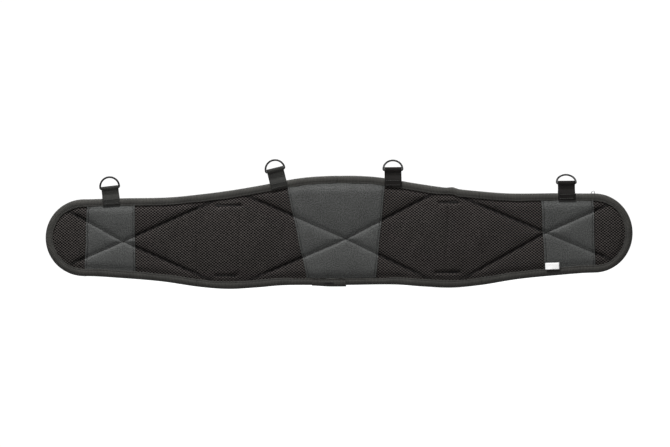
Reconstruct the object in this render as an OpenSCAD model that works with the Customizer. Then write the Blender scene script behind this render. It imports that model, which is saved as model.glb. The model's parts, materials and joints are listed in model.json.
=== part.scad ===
// Padded support belt pad. A shaped, foam-filled pad that a work belt is threaded behind, with
// four D-rings on its top edge for braces. The body face looks toward -Y, the belt runs along X
// behind the pad, and the top edge is up. The origin is the belt's centreline, mid length.

/* [Pad outline] */
// Length of the pad from tip to tip
pad_length = 892; // [840:1:960]
// Height of the top edge above the belt line, at mid length
top_rise = 90.5; // [86:0.5:96]
// Depth of the bottom edge below the belt line, at mid length
bottom_drop = 75.5; // [71:0.5:79]
// Radius of the rounded ends
end_radius = 58.5; // [55:0.5:60]
// How much fuller the pad lies at its right tip than on its left half, as a share of its height
right_fullness = 0.032; // [0:0.004:0.04]

/* [Layers] */
// Thickness of the foam core
foam_t = 6; // [4:0.5:10]
// Thickness of the spacer mesh lining on the body face
lining_t = 1.2; // [0.8:0.1:2]
// Thickness of the outer shell fabric
shell_t = 0.8; // [0.4:0.1:1.5]
// Thickness of the grip patches
patch_t = 1; // [0.6:0.1:1.6]
// Thickness of the folded edge binding
binding_t = 0.8; // [0.5:0.1:1.2]
// Width of the binding on each face
binding_w = 11.4; // [9:0.1:13]

/* [Bending] */
// Distance from mid length to the inner bends
inner_bend_x = 148; // [144:1:150]
// Distance from mid length to the outer bends
outer_bend_x = 285; // [275:1:295]
// Gap between neighbouring stretches of the pad
bend_gap = 3; // [2.5:0.1:4]

/* [Webbing tabs and rings] */
// Width of the tab webbing
webbing_w = 25; // [24:0.5:26]
// Thickness of the tab webbing
webbing_t = 1.8; // [1.4:0.1:2]
// Height of each tab's bend above the pad's edge
tab_bend_h = 5; // [4.6:0.1:5.4]
// Outer width of a ring
ring_w = 31.9; // [31:0.1:34]
// Outer height of a ring
ring_h = 19.8; // [19.4:0.1:22]
// Diameter of the ring wire
wire_d = 2.9; // [2.5:0.1:3.1]
// Radius of the wire's corners, at the middle of the wire
corner_r = 2.2; // [2:0.1:2.3]

/* [Belt keepers] */
// Depth of the space between the pad and a keeper strap
belt_gap = 6; // [5:0.5:8]
// Width of a keeper strap
strap_w = 25; // [20:1:26]
// Thickness of a keeper strap
strap_t = 1.6; // [1:0.1:2]
// Height of a bartack
tack_h = 1.6; // [1:0.1:2.5]
// Thickness of a bartack's thread
tack_t = 0.4; // [0.3:0.1:0.6]

/* [Care label] */
// Width of the blank label
label_w = 21.7; // [15:0.1:25]
// Height of the blank label
label_h = 11; // [8:0.1:14]

/* [Hidden] */
$fn = 48;
SIDES = ["left", "right"];
STRETCHES = ["left_end", "left_side", "back", "right_side", "right_end"];

// Edge heights as [share of the straight length, share of the rise or drop beyond the end radius]
TOP_SHAPE = [[0, 1], [0.145, 0.92], [0.302, 0.59], [0.413, 0.375], [0.53, 0.2], [0.672, 0.05],
    [0.853, 0.03], [1, 0]];
BOTTOM_SHAPE = [[0, 1], [0.207, 0.97], [0.323, 1.15], [0.439, 1.26], [0.556, 1.03], [0.698, 0.53],
    [0.853, 0.2], [1, 0]];

// Grip patches as corner points in the plane of the pad: [name, corners]
PATCHES = [
    ["left", [[-384, 60], [-386.5, -60], [-309, -60], [-310.5, 60]]],
    ["lumbar", [[-78, 95], [-50, -64.5], [56.5, -64.5], [70, 95]]],
    ["right", [[307.5, 60], [312.5, -60], [388.5, -60], [386.5, 60]]]
];

// Tabs as [name, place along the edge, lean, height, length of each leg, slack over the ring's
// bar, backward tilt of the ring]
TABS = [
    ["left_end", -346, -6, 19.5, 10, 0.5, 0],
    ["left_back", -92, -13, 22.5, 10, 1.6, 15],
    ["right_back", 82.7, 0, 19, 11, 1.9, 26],
    ["right_end", 346, 0, 19.4, 10.5, 1.2, 38]
];

// Where the pad's right half starts to lie fuller, and where it is at its fullest
full_from = -60;
full_to = 440;

// Keeper straps as [middle of the width, height of the top bartack, height of the bottom bartack]
STRAPS = [[-172, 46.6, -59.7], [166, 48.3, -57.5]];
// How far a strap runs past its bartacks, and how far inside them it starts to leave the pad
strap_end = 5;
strap_flat = 2.6;
// Height over which a strap leaves the pad
strap_ramp = 9;

// Lap of the binding's two ends at the bottom edge
lap_from = -42.5;
lap_to = 10.3;
// Corner of the label, and how far it hangs askew
label_corner = [312.6, -55];
label_slant = -3;

curve_steps = 5;
end_steps = 24;
// Room between the rim of the soft layers and the binding that wraps it
rim_room = 0.2;
// Clearance of a ring's bar in its webbing, and of a tab over its anchor
bar_room = 0.07;
tab_room = 0.3;

// Layers stacked from the belt's side toward the body
shell_back = -belt_gap / 2;
shell_front = shell_back - shell_t;
foam_front = shell_front - foam_t;
lining_front = foam_front - lining_t;
patch_front = lining_front - patch_t;
binding_back = shell_back + binding_t;
binding_front = lining_front - binding_t;
pad_mid = (binding_back + binding_front) / 2;
pad_half = (binding_back - binding_front) / 2;

// Reach of the cutting blocks, past the pad on every side
far = 600;

wire_r = wire_d / 2;
loop_r = wire_r + bar_room + webbing_t;
straight_x = pad_length / 2 - end_radius;

// A point of a smooth curve through p1 and p2, with neighbours p0 and p3
function curve_point(p0, p1, p2, p3, t) =
    0.5 * (2 * p1 + (p2 - p0) * t + (2 * p0 - 5 * p1 + 4 * p2 - p3) * t * t
    + (3 * p1 - p0 - 3 * p2 + p3) * t * t * t);

// The shape mirrored about mid length, and carried on past its last point
function before(shape, i) = i > 0 ? shape[i - 1] : [-shape[1][0], shape[1][1]];
function after(shape, i) =
    i + 2 < len(shape) ? shape[i + 2] : [2 - shape[i][0], shape[i][1]];

// Half of an edge from mid length outward, as [x, z] points above the belt line
function half_edge(shape, rise) = [
    for (i = [0 : len(shape) - 2], k = [0 : curve_steps - 1])
        let (p = curve_point(before(shape, i), shape[i], shape[i + 1], after(shape, i),
            k / curve_steps))
        [p[0] * straight_x, end_radius + p[1] * (rise - end_radius)]
];

function mirrored(points) = [for (p = points) [-p[0], p[1]]];
function upside_down(points) = [for (p = points) [p[0], -p[1]]];
function reversed(points) = [for (i = [len(points) - 1 : -1 : 0]) points[i]];
function tail(points) = [for (i = [1 : len(points) - 1]) points[i]];
function end_arc(middle, from) = [
    for (i = [0 : end_steps])
        let (a = from + 180 * i / end_steps)
        [middle + end_radius * cos(a), end_radius * sin(a)]
];

// Points of the outline, with the right half drawn out to its fullness
function ease(t) = t <= 0 ? 0 : t >= 1 ? 1 : t * t * (3 - 2 * t);
function as_it_lies(points) = [
    for (p = points)
        let (share = ease((p[0] - full_from) / (full_to - full_from)))
        [p[0], p[1] * (1 + right_fullness * share)]
];

top_half = half_edge(TOP_SHAPE, top_rise);
bottom_half = upside_down(half_edge(BOTTOM_SHAPE, bottom_drop));
top_points = as_it_lies(concat([[-straight_x, end_radius]], reversed(mirrored(top_half)),
    tail(top_half), [[straight_x, end_radius]]));
rim = as_it_lies(concat(
    end_arc(straight_x, -90),
    reversed(top_half),
    mirrored(tail(top_half)),
    end_arc(-straight_x, 90),
    reversed(mirrored(bottom_half)),
    tail(bottom_half)
));

// The pad's outline, drawn in by a distance
function rim_inset(inset) = [
    for (i = [0 : len(rim) - 1])
        let (
            along = rim[(i + 1) % len(rim)] - rim[(i + len(rim) - 1) % len(rim)],
            inward = [-along[1], along[0]] / norm(along)
        )
        rim[i] + inward * inset
];

function edge_height(x) = lookup(x, top_points);
function bar_height(tab) = tab[3] - loop_r - tab[5];

// A flat layer between two depths
module layer(front, back) {
    translate([0, back, 0])
        rotate([90, 0, 0])
            linear_extrude(height = back - front)
                children();
}

module pad_layer(front, back, inset) {
    layer(front, back) polygon(rim_inset(inset));
}

// The block of space that holds one stretch of the pad, from one bend gap to the next
module stretch_space(i) {
    bends = [-outer_bend_x, -inner_bend_x, inner_bend_x, outer_bend_x];
    from = i == 0 ? -far : bends[i - 1] + bend_gap / 2;
    to = i == len(bends) ? far : bends[i] - bend_gap / 2;
    translate([from, -far / 2, -far / 2]) cube([to - from, far, far]);
}

module foam_core(i) {
    color("dimgray")
        intersection() {
            pad_layer(foam_front, shell_front, binding_t + rim_room);
            stretch_space(i);
        }
}

module mesh_lining(i) {
    color([0.12, 0.11, 0.1])
        intersection() {
            pad_layer(lining_front, foam_front, binding_t + rim_room);
            stretch_space(i);
        }
}

module outer_shell(i) {
    color([0.14, 0.14, 0.15])
        intersection() {
            pad_layer(shell_front, shell_back, binding_t + rim_room);
            stretch_space(i);
        }
}

// Tape folded over the rim, with a leg on each face
module edge_binding(i) {
    color([0.22, 0.22, 0.2])
        intersection() {
            difference() {
                pad_layer(binding_front, binding_back, 0);
                pad_layer(lining_front, shell_back, binding_t);
                pad_layer(binding_front - 1, binding_back + 1, binding_w);
            }
            stretch_space(i);
        }
}

// The tape's end, lapped over its start
module binding_lap() {
    color([0.24, 0.24, 0.22])
        intersection() {
            difference() {
                pad_layer(binding_front - binding_t, binding_back + binding_t, -binding_t);
                pad_layer(binding_front, binding_back, 0);
                pad_layer(binding_front - far, binding_back + far, binding_w);
            }
            translate([lap_from, -far / 2, -far]) cube([lap_to - lap_from, far, far]);
        }
}

module grip_patch(patch) {
    color([0.3, 0.3, 0.3])
        intersection() {
            layer(patch_front, lining_front) polygon(patch[1]);
            pad_layer(patch_front - 1, lining_front + 1, binding_w + rim_room);
        }
}

// Puts its children at a tab's foot on the pad's edge, with Z up along the tab
module at_tab(tab) {
    translate([tab[1], pad_mid, edge_height(tab[1])])
        rotate([0, tab[2], 0])
            children();
}

// A round bar along X
module cross_bar(radius, width) {
    rotate([0, 90, 0]) cylinder(r = radius, h = width, center = true);
}

// The part of a tab that is sewn to the pad: a leg on each face, closing above the edge
module tab_anchor(tab) {
    outside = pad_half + webbing_t;
    roof_z = tab_bend_h - webbing_t + rim_room;
    profile = [[-outside, -tab[4]], [outside, -tab[4]], [outside, 0.8], [2 * webbing_t, roof_z],
        [-2 * webbing_t, roof_z], [-outside, 0.8]];
    color([0.2, 0.2, 0.19])
        difference() {
            at_tab(tab)
                difference() {
                    translate([-webbing_w / 2, 0, 0])
                        rotate([90, 0, 90])
                            linear_extrude(height = webbing_w)
                                polygon(profile);
                    translate([0, 0, tab_bend_h])
                        cross_bar(webbing_t + tab_room, webbing_w + 1);
                }
            pad_layer(binding_front, binding_back, 0);
        }
}

// The free part of a tab: two plies folded over the ring's bar
module tab_loop(tab) {
    bar_z = bar_height(tab);
    color([0.2, 0.2, 0.19])
        at_tab(tab)
            difference() {
                union() {
                    translate([0, 0, tab_bend_h]) cross_bar(webbing_t, webbing_w);
                    translate([-webbing_w / 2, -webbing_t, tab_bend_h])
                        cube([webbing_w, 2 * webbing_t, bar_z - tab_bend_h]);
                    translate([0, 0, bar_z]) cross_bar(loop_r, webbing_w);
                    translate([-webbing_w / 2, -loop_r, bar_z])
                        cube([webbing_w, 2 * loop_r, tab[5]]);
                    translate([0, 0, bar_z + tab[5]]) cross_bar(loop_r, webbing_w);
                }
                translate([0, 0, bar_z]) cross_bar(wire_r + bar_room, webbing_w + 1);
            }
}

// A stretch of bent wire, turning by an angle in the XZ plane
module wire_arc(radius, from, angle) {
    rotate([90, 0, 0])
        rotate([0, 0, from])
            rotate_extrude(angle = angle)
                translate([radius, 0])
                    circle(r = wire_r);
}

// A wire ring with a straight bar, round corners and a half-round bow
module d_ring(tab) {
    bow_r = ring_w / 2 - wire_r;
    bow_z = ring_h - wire_d - bow_r;
    color([0.1, 0.1, 0.1])
        at_tab(tab)
            translate([0, 0, bar_height(tab)])
                rotate([-tab[6], 0, 0]) {
                    cross_bar(wire_r, 2 * (bow_r - corner_r));
                    for (side = [-1, 1]) {
                        translate([side * (bow_r - corner_r), 0, corner_r])
                            wire_arc(corner_r, side > 0 ? -90 : 180, 90);
                        translate([side * bow_r, 0, corner_r])
                            cylinder(r = wire_r, h = bow_z - corner_r);
                    }
                    translate([0, 0, bow_z]) wire_arc(bow_r, 0, 180);
                }
}

// A strap sewn flat at both ends and standing off the pad between them
module keeper_strap(strap) {
    top = strap[1];
    bottom = strap[2];
    near = belt_gap / 2;
    profile = [[shell_back, top + strap_end], [shell_back, top - strap_flat],
        [near, top - strap_flat - strap_ramp], [near, bottom + strap_flat + strap_ramp],
        [shell_back, bottom + strap_flat], [shell_back, bottom - strap_end],
        [shell_back + strap_t, bottom - strap_end], [shell_back + strap_t, bottom + strap_flat],
        [near + strap_t, bottom + strap_flat + strap_ramp],
        [near + strap_t, top - strap_flat - strap_ramp],
        [shell_back + strap_t, top - strap_flat], [shell_back + strap_t, top + strap_end]];
    color([0.18, 0.18, 0.18])
        translate([strap[0] - strap_w / 2, 0, 0])
            rotate([90, 0, 90])
                linear_extrude(height = strap_w)
                    polygon(profile);
}

// Dense thread bars that hold a strap's ends, on the strap and on the body face
module bartacks(strap) {
    color([0.06, 0.06, 0.06])
        for (z = [strap[1], strap[2]], y = [lining_front - tack_t, shell_back + strap_t])
            translate([strap[0] - strap_w / 2, y, z - tack_h / 2])
                cube([strap_w, tack_t, tack_h]);
}

module care_label() {
    color("white")
        translate([label_corner[0], patch_front - tack_t, label_corner[1]])
            rotate([0, label_slant, 0])
                cube([label_w, tack_t, label_h]);
}

for (i = [0 : len(STRETCHES) - 1]) {
    foam_core(i);
    mesh_lining(i);
    outer_shell(i);
    edge_binding(i);
}
binding_lap();
for (patch = PATCHES) {
    grip_patch(patch);
}
for (tab = TABS) {
    tab_anchor(tab);
    tab_loop(tab);
    d_ring(tab);
}
for (i = [0 : len(SIDES) - 1]) {
    keeper_strap(STRAPS[i]);
    bartacks(STRAPS[i]);
}
care_label();
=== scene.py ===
"""A padded support belt pad: quilted mesh lining, grip patches, taped rim, webbing tabs with D-rings.

Lengths are in millimetres and become metres in make(). The body face looks toward -Y. A point of
the pad is given by x along it and z up it, and the two faces are reliefs over that plane: cloth
simulation gives each its swell between the seams, and every piece that lies on a face reads it.
"""

import json
import math

import bpy
import numpy as np
from mathutils import Matrix, Vector
from mathutils.bvhtree import BVHTree
from mathutils.geometry import delaunay_2d_cdt


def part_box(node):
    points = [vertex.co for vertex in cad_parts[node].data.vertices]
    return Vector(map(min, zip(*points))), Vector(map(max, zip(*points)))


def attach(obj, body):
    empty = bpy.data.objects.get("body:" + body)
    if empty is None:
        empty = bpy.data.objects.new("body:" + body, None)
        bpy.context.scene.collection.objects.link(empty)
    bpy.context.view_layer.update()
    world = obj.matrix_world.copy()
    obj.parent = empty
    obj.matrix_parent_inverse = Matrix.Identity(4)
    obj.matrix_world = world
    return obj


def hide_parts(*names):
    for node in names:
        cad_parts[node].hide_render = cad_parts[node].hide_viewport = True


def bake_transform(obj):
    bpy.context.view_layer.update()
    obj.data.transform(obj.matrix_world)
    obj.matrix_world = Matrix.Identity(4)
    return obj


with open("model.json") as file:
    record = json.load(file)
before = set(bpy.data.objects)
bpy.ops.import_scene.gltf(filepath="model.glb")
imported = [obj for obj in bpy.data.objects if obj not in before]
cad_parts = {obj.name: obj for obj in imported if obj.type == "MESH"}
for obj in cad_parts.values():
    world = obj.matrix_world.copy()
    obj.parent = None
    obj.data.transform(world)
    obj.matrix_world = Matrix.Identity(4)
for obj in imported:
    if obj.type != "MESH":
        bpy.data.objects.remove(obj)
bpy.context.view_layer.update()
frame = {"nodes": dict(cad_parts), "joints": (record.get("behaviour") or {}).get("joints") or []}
MM = 0.001

# ---------------------------------------------------------------- sizes from the CAD frame


def node_box(name):
    """Lowest and highest corner of a CAD node, in millimetres."""
    low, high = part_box(name)
    return np.array(low) / MM, np.array(high) / MM


def joint(name):
    """Place and axis of a joint, in millimetres."""
    found = next(j for j in frame["joints"] if j["name"] == name)
    return np.array(found["pos_m"]) / MM, np.array(found["axis"])


TIP_X = node_box("edge_binding_right_end")[1][0]
TOP_Z = 90.5
END_R = 58.5
BOTTOM_Z = 75.5
RIGHT_FULLNESS = 0.032
STRAIGHT_X = TIP_X - END_R
FRONT_Y = node_box("mesh_lining_back")[0][1]
BACK_Y = node_box("outer_shell_back")[1][1]
MID_Y = (FRONT_Y + BACK_Y) / 2
INNER_BEND_X = joint("right_inner_bend")[0][0]
OUTER_BEND_X = joint("right_outer_bend")[0][0]
INNER_ZONE = 30.0
OUTER_ZONE = 22.0
SPLIT_X = (INNER_BEND_X + OUTER_BEND_X) / 2

# Edge heights as [share of the straight length, share of the rise or drop beyond the end radius]
TOP_SHAPE = [[0, 1], [0.145, 0.92], [0.302, 0.59], [0.413, 0.375], [0.53, 0.2], [0.672, 0.05],
             [0.853, 0.03], [1, 0]]
BOTTOM_SHAPE = [[0, 1], [0.207, 0.97], [0.323, 1.15], [0.439, 1.26], [0.556, 1.03],
                [0.698, 0.53], [0.853, 0.2], [1, 0]]

LINING_T = 1.2
SHELL_T = 0.8
TAPE_W = 11.4
WEBBING_W = 25.0
WEBBING_T = 1.8
PATCH_T = 1.0

# Quilting seams: each cross has a middle and four ends under the tape
CROSSES = [
    [(-328, -6), [(-416, 44), (-418, -44), (-186, 56), (-190, -69)]],
    [(10.5, -5), [(-145, 64), (-149, -71.5), (149.5, 65), (145, -72)]],
    [(314, 1.5), [(169, 64), (183, -70), (415, 45.5), (421, -44)]],
]
# Keeper straps: middle of the width, height of the top and of the bottom bartack
STRAPS = {"left": (-172, 46.6, -59.7), "right": (166, 48.3, -57.5)}
# Bartack rows on the body face: from x, to x, z, and where the cloth is pulled in most
SLITS = [(-187, -150, 46.6, -182), (-187, -159, -59.7, -158), (153, 182, 48.3, 175),
         (147, 181.5, -57.5, 172)]
CREASES = [-151.0, 165.0]

# Swell of each face between seams, its fullness beside them, and how far the seams draw it in
FRONT_SWELL, FRONT_PLUMP, FRONT_SEAM, FRONT_SLIT = 3.2, 1.6, 1.7, 1.3
BACK_SWELL, BACK_PLUMP, BACK_SEAM, BACK_SLIT = 0.9, 0.3, 1.2, 0.5

# ---------------------------------------------------------------- outline


def smooth_curve(points, steps):
    """A smooth curve through points, with flat mirrored ends."""
    p = np.array(points, float)
    first = p[1] * [-1, 1]
    last = [2 * p[-1][0] - p[-2][0], p[-2][1]]
    p = np.vstack([first, p, last])
    t = (np.arange(steps) / steps)[:, None]
    spans = []
    for a, b, c, d in zip(p, p[1:], p[2:], p[3:]):
        spans.append(0.5 * (2 * b + (c - a) * t + (2 * a - 5 * b + 4 * c - d) * t**2
                            + (3 * b - a - 3 * c + d) * t**3))
    return np.vstack(spans)


def ramp(value, low, high):
    """0 below low, 1 above high, smooth between."""
    t = np.clip((value - low) / (high - low), 0, 1)
    return t * t * (3 - 2 * t)


def half_edge(shape, rise):
    curve = smooth_curve(shape, 10)
    return np.column_stack([curve[:, 0] * STRAIGHT_X, END_R + curve[:, 1] * (rise - END_R)])


TOP_HALF = half_edge(TOP_SHAPE, TOP_Z)
BOTTOM_HALF = half_edge(BOTTOM_SHAPE, BOTTOM_Z) * [1, -1]


def resampled(points, pitch, closed=False):
    """The same line with points at an even pitch, and the length along it at each."""
    p = np.array(points, float)
    if closed:
        p = np.vstack([p, p[:1]])
    along = np.r_[0, np.cumsum(np.linalg.norm(np.diff(p, axis=0), axis=1))]
    count = max(2, int(round(along[-1] / pitch)))
    s = np.linspace(0, along[-1], count + 1)
    if closed:
        s = s[:-1]
    return np.column_stack([np.interp(s, along, c) for c in p.T]), s


def as_it_lies(line):
    """The outline with its right half drawn out to its fullness."""
    x, z = line.T
    return np.column_stack([x, z * (1 + RIGHT_FULLNESS * ramp(x, -60, 440))])


def rim_line(pitch):
    """The pad's outline, counter-clockwise from the bottom middle, with its inward normals."""
    turn = np.radians(np.linspace(-90, 90, 40))
    arc = np.column_stack([STRAIGHT_X + END_R * np.cos(turn), END_R * np.sin(turn)])
    flip = [-1, 1]
    line = np.vstack([BOTTOM_HALF, arc, TOP_HALF[::-1], TOP_HALF[1:] * flip, arc[::-1] * flip,
                      (BOTTOM_HALF[::-1] * flip)[:-1]])
    line = as_it_lies(line)
    line, s = resampled(line, pitch, closed=True)
    ahead = np.roll(line, -1, axis=0) - np.roll(line, 1, axis=0)
    inward = np.column_stack([-ahead[:, 1], ahead[:, 0]])
    return line, inward / np.linalg.norm(inward, axis=1)[:, None], s


RIM, RIM_IN, RIM_S = rim_line(2.0)
RIM_LENGTH = RIM_S[-1] + RIM_S[1]


def edge_z(x, top=True, inset=0.0):
    """Height of the top or bottom edge at x, drawn in by an inset."""
    line = RIM + RIM_IN * inset
    half = line[(line[:, 1] > 0) == top]
    half = half[np.argsort(half[:, 0])]
    return np.interp(x, half[:, 0], half[:, 1])


def distance_to(x, z, a, b):
    """Distance from points to the segment from a to b."""
    ax, az = a
    dx, dz = b[0] - ax, b[1] - az
    t = np.clip(((x - ax) * dx + (z - az) * dz) / (dx * dx + dz * dz), 0, 1)
    return np.hypot(x - ax - t * dx, z - az - t * dz)


SEAM_LINES = [(middle, end) for middle, ends in CROSSES for end in ends]


def seam_distance(x, z):
    return np.min([distance_to(x, z, a, b) for a, b in SEAM_LINES], axis=0)


# ---------------------------------------------------------------- relief of the two faces

GRID_X = np.arange(-448.0, 448.5, 1.0)
GRID_Z = np.arange(-84.0, 95.5, 1.0)
GX, GZ = np.meshgrid(GRID_X, GRID_Z)


def rim_distance(x, z):
    """How far inside the outline each point is, from the nearest points of the rim."""
    flat = np.column_stack([np.ravel(x), np.ravel(z)])
    out = np.full(len(flat), 99.0)
    for k in range(0, len(flat), 4096):
        part = flat[k:k + 4096]
        gap = part[:, None, :] - RIM[None, ::2, :]
        near = np.argmin((gap**2).sum(2), axis=1)
        out[k:k + 4096] = (gap[np.arange(len(part)), near] * RIM_IN[::2][near]).sum(1)
    return out.reshape(np.shape(x))


GRID_INSET = rim_distance(GX, GZ)
GRID_SEAM = seam_distance(GX, GZ)


def blurred(values, mask, sigma):
    """Gaussian blur of the masked part of a grid."""
    reach = int(3 * sigma)
    kernel = np.exp(-0.5 * (np.arange(-reach, reach + 1) / sigma) ** 2)
    total, weight = values * mask, mask.astype(float)
    for axis in (0, 1):
        total = np.apply_along_axis(np.convolve, axis, total, kernel, "same")
        weight = np.apply_along_axis(np.convolve, axis, weight, kernel, "same")
    return np.where(weight > 1e-6, total / np.maximum(weight, 1e-6), values)


def triangulated_sheet(pitch):
    """Points and triangles over the pad, with edges along the rim, the tape's edge and seams."""
    held, edges = [], []

    def add_line(points, closed=False):
        first = len(held)
        held.extend(map(tuple, points))
        count = len(points)
        links = count if closed else count - 1
        edges.extend((first + i, first + (i + 1) % count) for i in range(links))

    for inset in (4.0, TAPE_W):
        add_line(resampled(RIM + RIM_IN * inset, pitch, closed=True)[0], closed=True)
    for middle, ends in CROSSES:
        for end in ends:
            line = resampled([middle, end], pitch)[0]
            add_line(line[rim_distance(line[:, 0], line[:, 1]) > TAPE_W + 1])
    held_points = np.array(held)
    columns = np.arange(-446, 446, pitch)
    rows = np.arange(-84, 95, pitch * 0.866)
    lattice = np.vstack([np.column_stack([columns + (i % 2) * pitch / 2, np.full_like(columns, z)])
                         for i, z in enumerate(rows)])
    lattice = lattice[rim_distance(lattice[:, 0], lattice[:, 1]) > TAPE_W]
    near = np.array([((held_points - p) ** 2).sum(1).min() for p in lattice])
    lattice = lattice[near > (0.6 * pitch) ** 2]
    points = [Vector(p) for p in np.vstack([held_points, lattice])]
    found = delaunay_2d_cdt(points, edges, [], 0, 1e-4)
    flat = np.array([tuple(v) for v in found[0]])
    faces = np.array([f for f in found[2] if len(f) == 3])
    middle = flat[faces].mean(axis=1)
    return flat, faces[rim_distance(middle[:, 0], middle[:, 1]) > 3.5]


def cloth_swell(outward):
    """Blows up one face between its seams and returns the swell on the grid, from 0 to 1."""
    flat, faces = triangulated_sheet(5.0)
    depth = np.where(seam_distance(flat[:, 0], flat[:, 1]) < 0.5, -2.0, 0.0) * outward
    points = np.column_stack([flat[:, 0], depth, flat[:, 1]]) * MM
    corners = points[faces]
    facing = np.cross(corners[:, 1] - corners[:, 0], corners[:, 2] - corners[:, 0])[:, 1]
    faces = np.where((facing * outward > 0)[:, None], faces, faces[:, ::-1])
    mesh = bpy.data.meshes.new("swell")
    mesh.from_pydata(points.tolist(), [], faces.tolist())
    sheet = bpy.data.objects.new("swell", mesh)
    bpy.context.collection.objects.link(sheet)
    pinned = (seam_distance(flat[:, 0], flat[:, 1]) < 0.5) | (
        rim_distance(flat[:, 0], flat[:, 1]) < TAPE_W + 0.5)
    sheet.vertex_groups.new(name="pinned").add(np.flatnonzero(pinned).tolist(), 1.0, "REPLACE")
    cloth = sheet.modifiers.new("cloth", "CLOTH")
    settings = cloth.settings
    settings.quality = 5
    settings.mass = 0.3
    settings.air_damping = 2.0
    settings.tension_stiffness = settings.compression_stiffness = 15
    settings.shear_stiffness = 5
    settings.bending_stiffness = 0.5
    settings.shrink_min = -0.012
    settings.use_pressure = True
    settings.uniform_pressure_force = 4.0
    settings.vertex_group_mass = "pinned"
    settings.effector_weights.gravity = 0.0
    cloth.collision_settings.use_collision = False
    scene = bpy.context.scene
    scene.frame_start, scene.frame_end = 1, 20
    for number in range(1, 21):
        scene.frame_set(number)
    result = sheet.evaluated_get(bpy.context.evaluated_depsgraph_get()).to_mesh()
    moved = np.array([v.co for v in result.vertices])
    scene.frame_set(1)
    sheet.modifiers.remove(cloth)
    lift = (moved[:, 1] / MM - depth) * outward
    lift = np.clip(lift, 0, None)
    most = np.percentile(lift, 99)
    lift = np.minimum(lift / most, 1.15)
    tree = BVHTree.FromPolygons(
        [(a, h, b) for (a, b), h in zip(flat, lift)], faces.tolist())
    swell = np.zeros_like(GX)
    for index in zip(*np.nonzero(GRID_INSET > TAPE_W)):
        hit = tree.ray_cast(Vector((GX[index], 50, GZ[index])), Vector((0, -1, 0)))[0]
        if hit is not None:
            swell[index] = hit.y
    bpy.data.objects.remove(sheet)
    bpy.data.meshes.remove(mesh)
    return swell


def wander(x, z, size, seed):
    """Smooth random values from -1 to 1 that vary over a length."""
    turn = np.random.default_rng(seed).uniform(0, 2 * math.pi, (5, 3))
    total = 0
    for a, b, c in turn:
        total = total + np.sin((x * math.cos(a) + z * math.sin(a)) * 2 * math.pi / size
                               * (0.7 + 0.6 * b / 6.28) + c)
    return total / 5


def relief(outward, swell, height, plump, seam_depth, slit_depth):
    """One face's y over the grid: seated under the tape, swollen between seams, drawn in at them."""
    inside = GRID_INSET > TAPE_W
    soft = blurred(swell, inside, 2.5)
    pucker = 0.35 * np.exp(-GRID_SEAM / 5) * wander(GX, GZ, 9, 3) * (GRID_SEAM > 0.5)
    near = np.exp(-GRID_SEAM / 6.5)
    slit = np.exp(-((GRID_SEAM / 1.9) ** 2))
    rise = (plump + height * soft) * (1 - near) - seam_depth * near - slit_depth * slit + pucker
    rise += 0.25 * wander(GX, GZ, 60, 11) * ramp(GRID_INSET, TAPE_W, 30)
    for x in CREASES:
        crease = np.exp(-((GX - x - 1.5 * np.sin(GZ / 23)) / 2.6) ** 2)
        rise -= 0.9 * crease
    for x0, x1, z, knot_x in SLITS:
        d = distance_to(GX, GZ, (x0, z), (x1, z))
        knot = np.hypot(GX - knot_x, GZ - z)
        deep = 1.0 if outward < 0 else 0.4
        rise -= deep * (3.0 * np.exp(-((d / 2.6) ** 2)) + 1.6 * np.exp(-((knot / 5) ** 2)))
    rise *= ramp(GRID_INSET, TAPE_W - 0.5, TAPE_W + 14)
    seat = -1.3 - 0.6 * np.clip(1 - GRID_INSET / TAPE_W, 0, 1) ** 2
    hem = seat + 1.2 * ramp(GRID_INSET, TAPE_W - 0.5, TAPE_W + 8)
    face = FRONT_Y if outward < 0 else BACK_Y
    return face + outward * (rise + hem)


front_swell = cloth_swell(-1)
back_swell = cloth_swell(1)
FRONT = relief(-1, front_swell, FRONT_SWELL, FRONT_PLUMP, FRONT_SEAM, FRONT_SLIT)
BACK = relief(1, back_swell, BACK_SWELL, BACK_PLUMP, BACK_SEAM, BACK_SLIT)
# The body face with its seams softened, for the patches
FRONT_SOFT = np.minimum(FRONT, blurred(FRONT, GRID_INSET > 0, 2.2))


def read_grid(grid, x, z):
    """The grid's value at any points, by bilinear reading."""
    u = np.clip(np.asarray(x, float) - GRID_X[0], 0, len(GRID_X) - 1.001)
    v = np.clip(np.asarray(z, float) - GRID_Z[0], 0, len(GRID_Z) - 1.001)
    i, j = u.astype(int), v.astype(int)
    a, b = u - i, v - j
    return ((grid[j, i] * (1 - a) + grid[j, i + 1] * a) * (1 - b)
            + (grid[j + 1, i] * (1 - a) + grid[j + 1, i + 1] * a) * b)


def front_y(x, z):
    return read_grid(FRONT, x, z)


def patch_y(x, z):
    """The body face as a stiffer grip patch lies on it, bridging the seams a little."""
    return read_grid(FRONT_SOFT, x, z)


def back_y(x, z):
    return read_grid(BACK, x, z)


# ---------------------------------------------------------------- meshes


def make(name, points, faces, material, uv=None, flat=0):
    """A piece from points in millimetres, smooth but for its last few faces.

    uv is in millimetres along the cloth.
    """
    mesh = bpy.data.meshes.new(name)
    mesh.from_pydata((np.asarray(points, float) * MM).tolist(), [], np.asarray(faces).tolist())
    mesh.polygons.foreach_set("use_smooth", np.arange(len(faces)) < len(faces) - flat)
    if uv is not None:
        layer = mesh.uv_layers.new(name="cloth")
        order = np.zeros(len(mesh.loops), np.int32)
        mesh.loops.foreach_get("vertex_index", order)
        uv = np.asarray(uv, float)[order] / 100
        layer.data.foreach_set("uv", uv.astype(np.float32).ravel())
    mesh.materials.append(material)
    piece = bpy.data.objects.new(name, mesh)
    bpy.context.collection.objects.link(piece)
    return piece


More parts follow.
